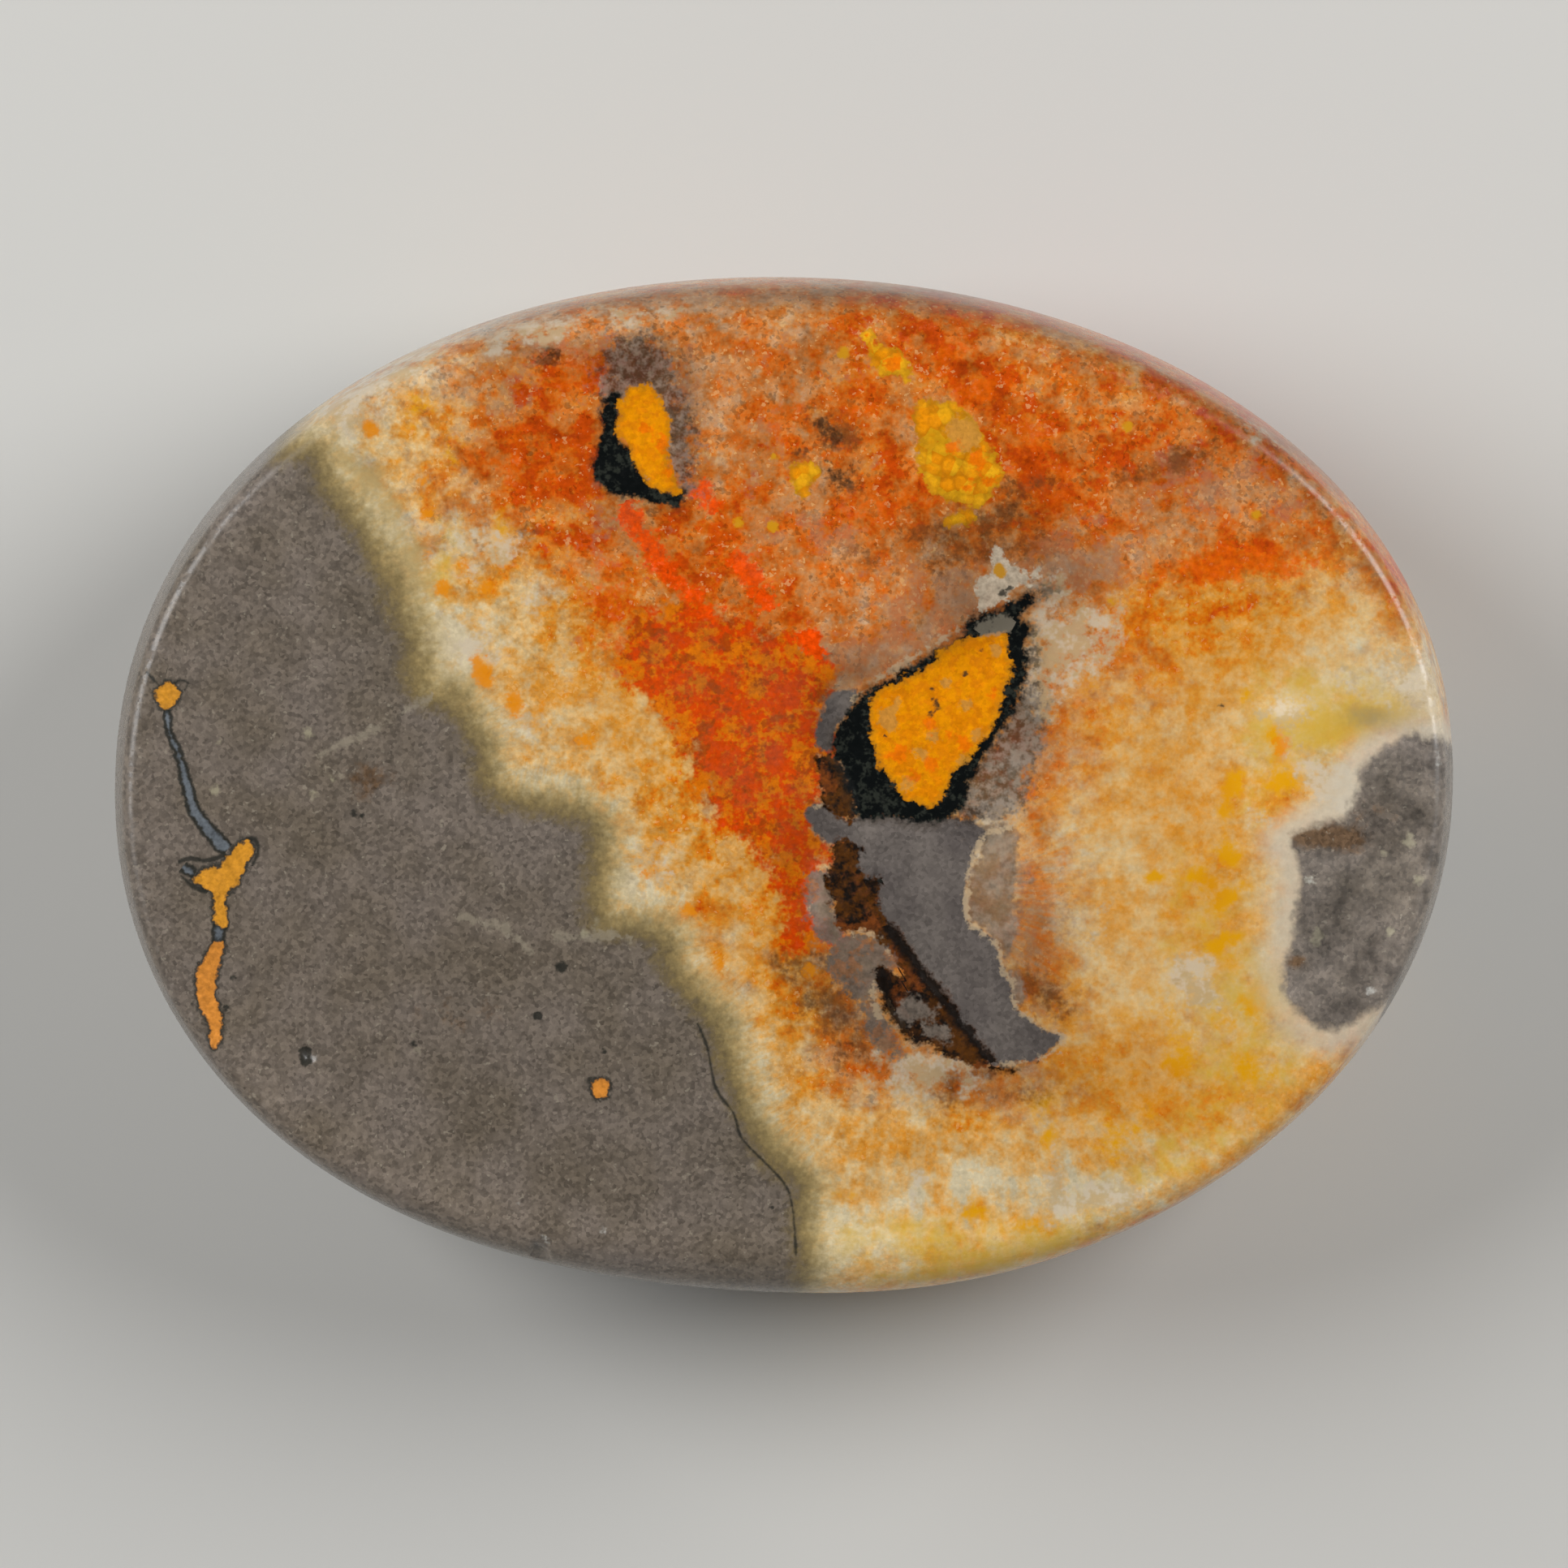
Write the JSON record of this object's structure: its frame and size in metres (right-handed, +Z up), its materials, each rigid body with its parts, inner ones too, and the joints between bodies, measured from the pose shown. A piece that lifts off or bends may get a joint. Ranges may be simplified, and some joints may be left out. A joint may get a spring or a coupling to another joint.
{
  "type": "bumblebee jasper palm stone",
  "caption": "Oval polished palm stone with a softly crowned face, convex sides and a flat rest under it, banded in grey, cream, orange and yellow.",
  "frame": {"origin": "under the middle of the stone, on the surface that it rests on", "axes": "+X along the length, +Y along the width, +Z up through the thickness, out of the polished face"},
  "size_m": [0.064, 0.0486, 0.018],
  "materials": {
    "jasper": "polished"
  },
  "bodies": {
    "root": {"palm_stone": "jasper"}
  },
  "joints": []
}
